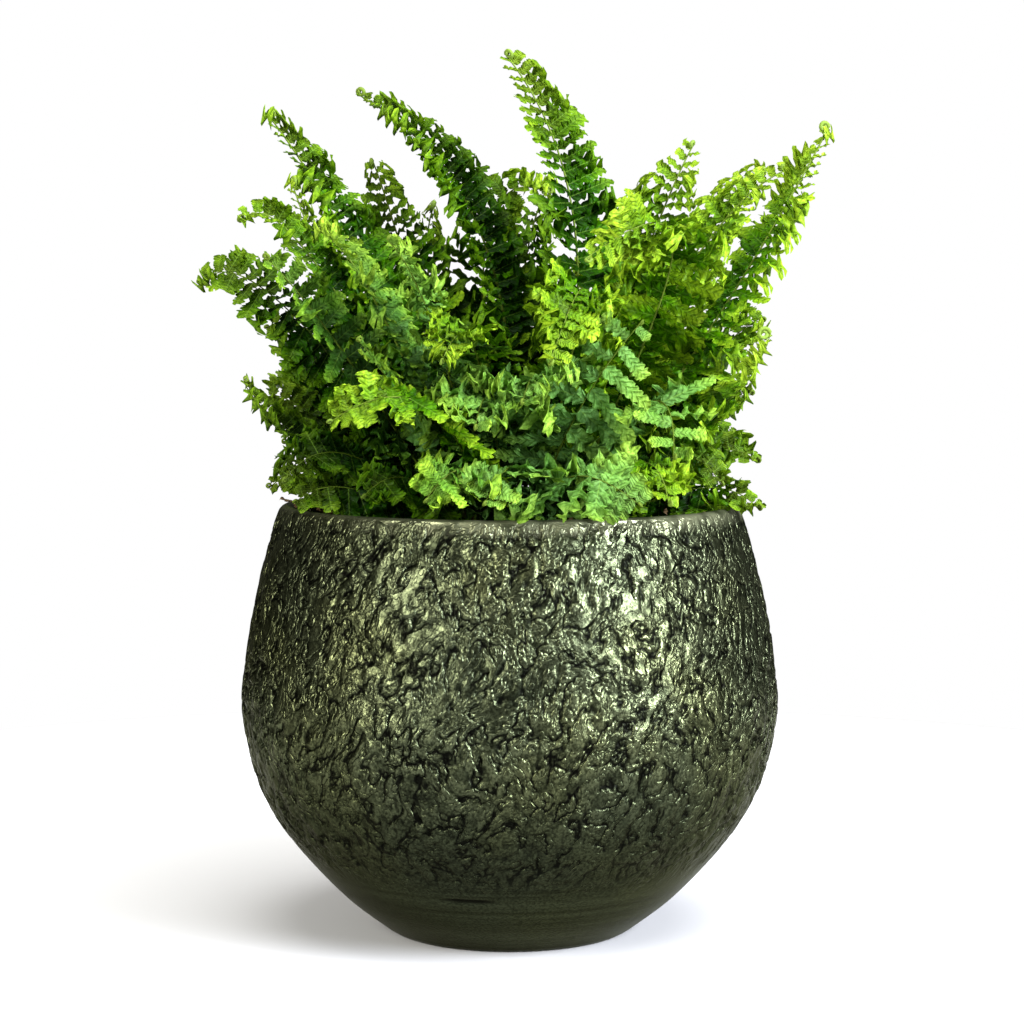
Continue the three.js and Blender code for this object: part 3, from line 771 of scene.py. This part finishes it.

# A frond's name, waist, tip, longest leaflet, roll, fold, tint, blueness (a painted sheen), how young its
# tip is, and the radius of its curled tip
Frond = namedtuple("Frond", "name waist tip longest roll fold tint blue young curl")
SEEN = [
    ("left_tall", (-49, 6, 228), (-86, 10, 290), 23, -28, 22, 0.3, 0, 0.3, 1.6),
    ("left_young", (-60, 24, 222), (-80, 32, 268), 13, -30, 22, 0.42, 0, 0.5, 1.6),
    ("left_high_arch", (-66, -10, 234), (-93, -16, 252), 18, -45, 18, 0.32, 0, 0.3, 1.4),
    ("left_low_arch", (-77, 1, 219), (-110, 6, 231), 22, -45, 15, 0.26, 0, 0.3, 1.2),
    ("left_leaning", (-58, -28, 207), (-83, -40, 238), 24, -50, 18, 0.34, 0.15, 0.25, 1.2),
    ("left_mid", (-65, 14, 202), (-88, 22, 215), 24, -60, 12, 0.22, 0, 0.3, 1.0),
    ("left_mid_low", (-66, -8, 181), (-86, -10, 190), 19, -50, 12, 0.2, 0, 0.3, 1.0),
    ("left_thin", (-73, -26, 176), (-91, -34, 197), 12, -50, 22, 0.32, 0, 0.4, 1.0),
    ("left_rim", (-61, 12, 161), (-87, 14, 157), 17, -40, -8, 0.18, 0, 0.3, 1.0),
    ("left_low_back", (-62, 39, 178), (-84, 44, 172), 19, -60, 0, 0.12, 0, 0.2, 1.0),
    ("left_low_front", (-53, -30, 170), (-76, -50, 163), 18, -40, 0, 0.2, 0, 0.2, 1.0),
    ("left_back_upright", (-36, 24, 231), (-50, 30, 275), 25, -70, 18, 0.32, 0, 0.4, 1.4),
    ("left_crozier", (-28, 35, 217), (-29, 50, 259), 17, -20, 25, 0.5, 0, 0.6, 2.2),
    ("long_arch", (-7, 12, 239), (-54, 16, 298), 21, -28, 22, 0.28, 0, 0.3, 1.6),
    ("centre_tall", (24, 2, 240), (-1, -2, 310), 27, -60, 18, 0.28, 0, 0.5, 1.6),
    ("centre_back", (4, 35, 226), (16, 54, 270), 20, 0, 22, 0.36, 0, 0.4, 1.2),
    ("comb", (-9, 30, 243), (14, 30, 264), 24, 30, 25, 0.5, 0, 0.4, 1.2),
    ("right_upright", (47, 22, 235), (67, 30, 281), 26, 50, 18, 0.62, 0, 0.5, 1.4),
    ("right_arch", (70, 49, 243), (95, 60, 273), 21, 45, 22, 0.62, 0, 0.7, 1.4),
    ("right_slant", (62, 12, 232), (99, 12, 271), 21, 50, 22, 0.66, 0, 0.6, 1.6),
    ("right_long", (66, -18, 208), (110, -20, 283), 23, 32, 0, 0.62, 0, 0.6, 1.7),
    ("right_mid", (69, 2, 200), (90, 4, 217), 22, 40, 12, 0.6, 0, 0.3, 1.0),
    ("right_crozier", (68, -34, 182), (88, -44, 212), 14, 35, 22, 0.6, 0, 0.8, 2.2),
    ("right_mid_low", (64, -9, 179), (85, -10, 191), 17, 35, 12, 0.55, 0, 0.3, 1.0),
    ("right_low", (65, 14, 167), (90, 18, 166), 17, 42, 15, 0.5, 0, 0.3, 1.0),
    ("right_low_back", (64, 38, 173), (84, 44, 168), 19, 60, 0, 0.35, 0, 0.2, 1.0),
    ("right_rim", (62, -21, 158), (86, -28, 152), 18, 30, -8, 0.5, 0, 0.3, 1.0),
    ("right_low_front", (51, -40, 169), (71, -50, 162), 19, 35, 0, 0.4, 0, 0.2, 1.0),
    ("bright_arch", (56, -24, 238), (26, -44, 238), 24, -30, 8, 0.7, 0, 0.6, 1.2),
    ("bright_arch_low", (24, -45, 222), (13, -74, 203), 20, -20, 22, 0.58, 0, 0.5, 1.2),
    ("front_right", (20, -55, 181), (43, -68, 216), 27, -44, 10, 0.6, 0.55, 0.1, 1.2),
    ("front_mid_right", (45, -47, 188), (54, -68, 172), 27, 20, 12, 0.56, 0.35, 0.2, 1.0),
    ("front_light_left", (-42, -34, 216), (-64, -38, 247), 21, -40, 22, 0.5, 0.3, 0.5, 1.2),
    ("front_blue_left", (-24, -46, 210), (-40, -58, 243), 22, -25, 18, 0.5, 0.4, 0.3, 1.2),
    ("front_yellow", (-11, -49, 205), (-22, -80, 203), 19, -10, 22, 0.52, 0, 0.6, 1.0),
    ("front_inner_left", (-38, -50, 192), (-50, -66, 210), 22, -30, 15, 0.52, 0.3, 0.2, 1.0),
    ("front_lime_left", (-25, -67, 187), (-58, -77, 184), 22, -20, 12, 0.58, 0, 0.5, 1.0),
    ("front_low_left", (-12, -69, 167), (-27, -83, 159), 22, -15, 0, 0.58, 0.2, 0.2, 1.0),
    ("rim_front_left", (-31, -54, 163), (-48, -68, 159), 20, -30, -8, 0.2, 0, 0.1, 1.0),
    ("front_inner_mid", (-6, -57, 187), (-11, -86, 182), 26, 0, 12, 0.55, 0.4, 0.2, 1.0),
    ("front_low_mid", (2, -67, 168), (-8, -86, 158), 26, 0, 0, 0.55, 0.5, 0.2, 1.0),
    ("front_low_right", (18, -72, 165), (42, -76, 157), 27, 20, 0, 0.5, 0.5, 0.2, 1.0),
    ("front_rim_right", (40, -56, 169), (52, -74, 157), 22, 0, -5, 0.7, 0, 0.4, 1.0),
    ("front_centre", (8, -52, 192), (4, -84, 190), 28, 10, 15, 0.58, 0.5, 0.2, 1.0),
    ("left_bottom", (-50, -42, 159), (-72, -46, 156), 19, -35, -8, 0.35, 0, 0.2, 1.0),
]
# Name, count, first and last heading, reach, rise, longest leaflet and fold of the fronds on the far side
FAR_TIERS = [
    ("far_high", 5, 50, 108, 68, 98, 23, 30),
    ("far_low", 6, 22, 158, 90, 62, 22, 25),
]


def chance(a, b):
    """A number from 0 to 1 that depends only on its two whole numbers."""
    x = math.sin(a * 127.1 + b * 311.7) * 43758.5453
    return x - math.floor(x)


def far_fronds():
    made = []
    for k, (name, count, start, end, reach, rise, longest, fold) in enumerate(FAR_TIERS):
        for i in range(count):
            heading = math.radians(start + i * (end - start) / (count - 1) + 8 * (chance(i, k) - 0.5))
            east, north = math.cos(heading), math.sin(heading)
            out = reach * (0.92 + 0.16 * chance(i, k + 7))
            up = rise * (0.9 + 0.2 * chance(i, k + 13))
            waist = (east * out * 0.62, north * out * 0.62, SOIL_TOP + up * 0.7)
            tip = (east * out, north * out, SOIL_TOP + up)
            tint = 0.3 + 0.2 * chance(i, 3)
            made.append(Frond(f"{name}_{i + 1}", waist, tip, longest, 20, fold, tint, 0, 0.5, 1.2))
    return made


class Midrib:
    """The arched line of a frond from its foot in the rhizome, through the waist, to the tip."""

    def __init__(self, waist, tip):
        waist, tip = np.array(waist, float), np.array(tip, float)
        lean = math.hypot(waist[0], waist[1])
        flatness = lean / math.hypot(lean, waist[2] - SOIL_TOP)
        # The flatter a frond grows, the farther out on the rhizome it stands
        ring = 5 + 18 * flatness
        foot = np.array([waist[0] / lean * ring, waist[1] / lean * ring, crown_top(ring) - 5])
        control = 2 * waist - (foot + tip) / 2
        t = np.linspace(0, 1, 201)[:, None]
        self.line = (1 - t) ** 2 * foot + 2 * t * (1 - t) * control + t**2 * tip
        steps = np.linalg.norm(np.diff(self.line, axis=0), axis=1)
        self.run = np.concatenate([[0], np.cumsum(steps)])
        self.length = self.run[-1]
        self.level = unit(np.cross((0, 0, 1), tip - foot))

    def at(self, share):
        return np.array([np.interp(share * self.length, self.run, self.line[:, k]) for k in range(3)])

    def stand(self, share, roll):
        """The place, the way to the tip, the side and the upper face. The blade is rolled to its tip."""
        along = unit(self.at(min(1, share + 0.004)) - self.at(max(0, share - 0.004)))
        side = unit(self.level - along * (self.level @ along))
        turn = np.array(Matrix.Rotation(math.radians(roll * smooth_step(0, 0.5, share)), 3, Vector(along)))
        side = turn @ side
        return self.at(share), along, side, np.cross(along, side)


def leaflet_length(share, longest):
    swell = 0.28 + 0.72 * math.sin(math.pi * share**0.75) ** 0.8
    return longest * swell * (1 - 0.35 * share) * (1 - 0.25 * share**4)


def tube(heap, path, radii, numbers, sides):
    """A round stalk along a path, closed at both ends."""
    path = np.array(path)
    rings = []
    # Each ring's cross is carried on from the one before, so that the sides don't twist
    guide = np.array((0.13, 0.21, 0.97))
    turn = np.linspace(0, math.tau, sides, endpoint=False)[:, None]
    for i, spot in enumerate(path):
        way = unit(path[min(i + 1, len(path) - 1)] - path[max(i - 1, 0)])
        u = np.cross(guide, way)
        if np.linalg.norm(u) < 0.2:
            u = np.cross((1, 0, 0), way)
        u = unit(u)
        guide = np.cross(way, u)
        rings.append(spot + radii[i] * (np.cos(turn) * u + np.sin(turn) * guide))
    points = np.concatenate([*rings, path[:1], path[-1:]])
    faces = []
    for i in range(len(path) - 1):
        for k in range(sides):
            a, b = i * sides + k, i * sides + (k + 1) % sides
            faces.append((a, b, b + sides, a + sides))
    first, last = len(path) * sides, len(path) * sides + 1
    top = (len(path) - 1) * sides
    caps = [(first, (k + 1) % sides, k) for k in range(sides)]
    caps += [(last, top + k, top + (k + 1) % sides) for k in range(sides)]
    heap.add(points, np.array(faces), np.full((len(points), 2), 0.5), numbers)
    heap.faces.extend((np.array(caps) + heap.count - len(points)).tolist())


def add_stalk(heap, frond, rib, slim):
    """Stalk and midrib, ending in the small curl of the growing tip."""
    shares = np.linspace(0.0, 1, STALK_RINGS)
    path = [rib.at(share) for share in shares]
    foot, *thinner = STALK_RADII
    radii = list(np.interp(shares, STALK_SHARES, [foot, *(radius * slim for radius in thinner)]))
    spot, along, side, face = rib.stand(1, frond.roll)
    centre = spot + face * frond.curl
    for k in range(1, CROZIER_RINGS + 1):
        angle = math.tau * CROZIER_TURNS * k / CROZIER_RINGS
        reach = frond.curl * (1 - 0.62 * k / CROZIER_RINGS)
        drift = side * CROZIER_DRIFT * k
        path.append(centre - face * math.cos(angle) * reach + along * math.sin(angle) * reach + drift)
        radii.append(0.3 * slim + 0.24 * frond.curl)
    age = np.repeat(np.linspace(0, 1, len(path)), STALK_SIDES)
    numbers = np.zeros((len(age) + 2, len(LEAF_NUMBERS)))
    numbers[:, 0], numbers[:, 2], numbers[:, 3] = frond.tint, 1, frond.blue
    numbers[:-2, 1] = age**2 * frond.young * slim
    tube(heap, path, radii, numbers, STALK_SIDES)


def add_leaflet(heap, frond, rib, crowded, u, sideways, draw):
    """One leaflet at a share u of the leafy length, on the side 1 or -1 of the midrib."""
    calm = frond.name in CALM_FRONDS
    spot, along, side, face = rib.stand(BARE_SHARE + (1 - BARE_SHARE) * u**0.92, frond.roll)
    mess = (0.3 + 0.3 * crowded + 0.2 * (1 - u)) * (0.9 if calm else 1)
    length = leaflet_length(u, frond.longest) * draw.uniform(0.85, 1.18)
    length *= 1 + 0.4 * crowded * float(smooth_step(0.35, 0.9, u) * smooth_step(13, 20, frond.longest))
    broad = 0.96 if calm else 1 + 0.2 * float(smooth_step(0.4, 0.9, u))
    width = (2.4 + 0.24 * length) * draw.uniform(0.88, 1.15) * broad
    lift = math.radians(frond.fold + draw.uniform(-22, 22) * mess)
    sweep = math.radians(SWEEP - 14 * crowded + draw.uniform(-16, 18) * mess)
    out = side * sideways * math.cos(lift) + face * math.sin(lift)
    reach = out * math.cos(sweep) + along * math.sin(sweep)
    # Long leaflets low in the crowd hang by their weight
    reach = unit(reach - np.array((0, 0, 0.012 * crowded * length)))
    over = unit(np.cross(reach, along) * -sideways)
    ahead = np.cross(over, reach) * -sideways
    # The leaflets turn their upper faces to the sky, as slats do
    turned_up = 0 if calm else SLAT * max(-0.4, along[2])
    slat = math.radians(turned_up + draw.uniform(-45, 45) * mess)
    upper = over * math.cos(slat) + ahead * math.sin(slat)
    edge = ahead * math.cos(slat) - over * math.sin(slat)
    if length > LONG_FROM:
        choice = LONG_SHAPES
    else:
        choice = MIDDLING_SHAPES if length > MIDDLING_FROM else SHORT_SHAPES
    points, faces, uv = LEAFLETS[draw.randrange(*choice)]
    placed = points[:, :1] * length * reach + points[:, 1:2] * width * edge + points[:, 2:] * width * upper
    # Low leaflets are darker, apart from those in front: painted shade for the crowd of leaflets above them
    painted_low_shade = (1 - float(smooth_step(150, 225, spot[2]))) * float(smooth_step(-66, -42, spot[1]))
    shade = min(1, max(0, frond.tint - 0.35 * painted_low_shade * (frond.tint < 0.8) + draw.gauss(0, 0.12)))
    youth = frond.young * max(0.0, (u - 0.62) / 0.38) ** 1.3
    # A leaflet is lighter to its end and its edges
    lighter = 0.5 * (uv[:, 0] - 0.5) + 0.4 * np.abs(uv[:, 1] - 0.5)
    younger = 0.4 * smooth_step(0.5, 1, uv[:, 0]) * (0.2 + frond.tint)
    numbers = np.zeros((len(points), len(LEAF_NUMBERS)))
    numbers[:, 0] = np.clip(shade + lighter, 0, 1)
    numbers[:, 1] = np.clip(youth + younger, 0, 1)
    numbers[:, 3] = frond.blue
    heap.add(placed + spot + out * 0.15, faces if sideways < 0 else faces[:, ::-1], uv, numbers)


def build_frond(number, frond):
    rib = Midrib(frond.waist, frond.tip)
    draw = random.Random(1000 + number)
    heap = Heap()
    # A frond is a regular comb where its tip is high, and in disorder low in the crowd, with a thin midrib
    crowded = 1 - float(smooth_step(225, 265, frond.tip[2]))
    add_stalk(heap, frond, rib, 1 - 0.35 * crowded)
    spacing = (2.7 + 0.07 * frond.longest) * CALM_FRONDS.get(frond.name, 1)
    count = max(8, round(rib.length * (1 - BARE_SHARE) / spacing))
    # Leaflets alternate from side to side
    for i in range(count):
        for sideways in (-1, 1):
            add_leaflet(heap, frond, rib, crowded, (i + 0.5 + 0.25 * sideways) / count, sideways, draw)
    piece = add_object(frond.name, heap.mesh(frond.name, LEAF_NUMBERS))
    finish_piece(piece, "fern_" + frond.name, LEAF, "frond_" + frond.name)


# Litter on the rhizome and the soil: how many, width as a share of length, and the least and most distance
# from the pot's axis, length and steepness. First papery scales, then withered leaflets between the stalks
LITTER = [
    (420, 0.35, (2, 30), (2.5, 6), (0.3, 1.3)),
    (420, 0.5, (14, 73), (6, 13), (-0.1, 0.6)),
]
LITTER_SHAPE = 2
RUNNERS = 26
RUNNER_BENDS = 9
RUNNER_STEPS = 20
RUNNER_RADIUS = 0.35
RUNNER_SIDES = 5


def strew_litter(heap):
    points, faces, uv = LEAFLETS[LITTER_SHAPE]
    for total, wide, distances, lengths, slopes in LITTER:
        for _ in range(total):
            around = random.uniform(0, math.tau)
            radius = random.uniform(*distances)
            length = random.uniform(*lengths)
            piled = 10 * random.random() * float(smooth_step(50, 72, radius))
            level = crown_top(radius) if radius < CROWN_RADIUS else SOIL_TOP + 3.5 + piled
            high = level + random.uniform(0, 1.5)
            spot = np.array((math.cos(around) * radius, math.sin(around) * radius, high))
            steep = random.uniform(*slopes)
            heading = around + random.uniform(-1.2, 1.2)
            flat = math.cos(steep)
            reach = np.array((math.cos(heading) * flat, math.sin(heading) * flat, math.sin(steep)))
            ahead = unit(np.cross((0, 0, 1), reach))
            width = length * wide
            placed = points[:, :1] * length * reach + points[:, 1:2] * width * ahead
            placed += points[:, 2:] * width * np.cross(reach, ahead)
            heap.add(placed + spot, faces, uv, [random.random()])


def lay_runners(heap):
    """Thin runners that wander over the soil."""
    for _ in range(RUNNERS):
        around = random.uniform(0, math.tau)
        path = []
        for k in range(RUNNER_BENDS):
            radius = 16 + k * random.uniform(4, 5.6)
            around += random.uniform(-0.14, 0.14)
            ground = crown_top(radius) if radius < CROWN_RADIUS else SOIL_TOP + 3
            high = ground + 1.5 + 3 * math.sin(k * 0.8)
            path.append((math.cos(around) * radius, math.sin(around) * radius, high))
        radii = [RUNNER_RADIUS] * (RUNNER_STEPS + 1)
        tube(heap, smooth_path(path, RUNNER_STEPS), radii, [random.uniform(0.5, 1)], RUNNER_SIDES)


def build_rhizome():
    outline = [(CROWN_RADIUS, SOIL_TOP + SOIL_RISE - CROWN_SINK + FIT_GAP)]
    for k in range(CROWN_RINGS):
        radius = CROWN_RADIUS * (1 - k / CROWN_RINGS)
        outline.append((radius, crown_top(radius)))
    piece = turned("rhizome", outline, 96)
    places = points_of(piece.data) / MM
    roughen(places, places[:, 2] > SOIL_TOP + 1, 1.4, 5.0, 0.8, 1.8)
    move_points(piece.data, places)
    note_numbers(piece.data, "tint", np.full(len(places), 0.3))
    heap = Heap()
    strew_litter(heap)
    lay_runners(heap)
    join_to(piece, add_object("trim", heap.mesh("trim", ["tint"])))
    finish_piece(piece, "scaly_rhizome", DRY, "rhizome")


build_pot()
build_soil()
build_rhizome()
for number, frond in enumerate([Frond(*row) for row in SEEN] + far_fronds()):
    build_frond(number, frond)

# Studio, in metres. The sweep ends out of the camera's sight, so that the pot mirrors a dark room above it
SWEEP_RADIUS = 0.5
AIM = Vector((0, 0, 0.14))
SOFTBOX_SIZE = (0.3, 1.0)
SOFTBOX_AWAY = 1.4
SOFTBOX_HIGH = 0.62


def add_softbox(name, azimuth, power, colour):
    """A tall soft light aimed at the plant. Azimuth 0 is at the camera, positive to the right."""
    data = bpy.data.lights.new(name, "AREA")
    data.shape = "RECTANGLE"
    data.size, data.size_y = SOFTBOX_SIZE
    data.energy = power
    data.color = paint(colour)[:3]
    lamp = add_object(name, data)
    angle = math.radians(azimuth)
    lamp.location = (math.sin(angle) * SOFTBOX_AWAY, -math.cos(angle) * SOFTBOX_AWAY, SOFTBOX_HIGH)
    lamp.rotation_euler = (AIM - lamp.location).to_track_quat("-Z", "Y").to_euler()


def light_room():
    """The sweep behind the object is seen white and fills the shadows, but the glaze mirrors it dimly."""
    world = bpy.data.worlds.new("studio")
    world.use_nodes = True
    tree = world.node_tree
    ray = put(tree, "LightPath").outputs
    fill = put(tree, "MapRange", {"Value": ray["Is Diffuse Ray"], "To Min": 0.06, "To Max": 0.6})
    level = put(tree, "Math", {0: ray["Is Camera Ray"], 1: fill.outputs[0]}, operation="MAXIMUM")
    backdrop = tree.nodes["Background"]
    backdrop.inputs["Color"].default_value = (1, 1, 1, 1)
    tree.links.new(level.outputs[0], backdrop.inputs["Strength"])
    bpy.context.scene.world = world
    bpy.context.scene.view_settings.view_transform = "Standard"


def build_studio():
    bpy.ops.mesh.primitive_circle_add(vertices=96, radius=SWEEP_RADIUS, fill_type="NGON")
    floor = bpy.context.object
    floor.name = "pale_floor"
    floor.data.materials.append(pale_paper())
    light_room()
    add_softbox("left softbox", -45, 40, "#fffcf4")
    add_softbox("right softbox", 56, 106, "#f0f4ff")
    overhead = bpy.data.lights.new("overhead", "SUN")
    overhead.energy = 5.0
    overhead.angle = math.radians(50)
    add_object("overhead", overhead).rotation_euler = (math.radians(9), math.radians(9), 0)


build_studio()
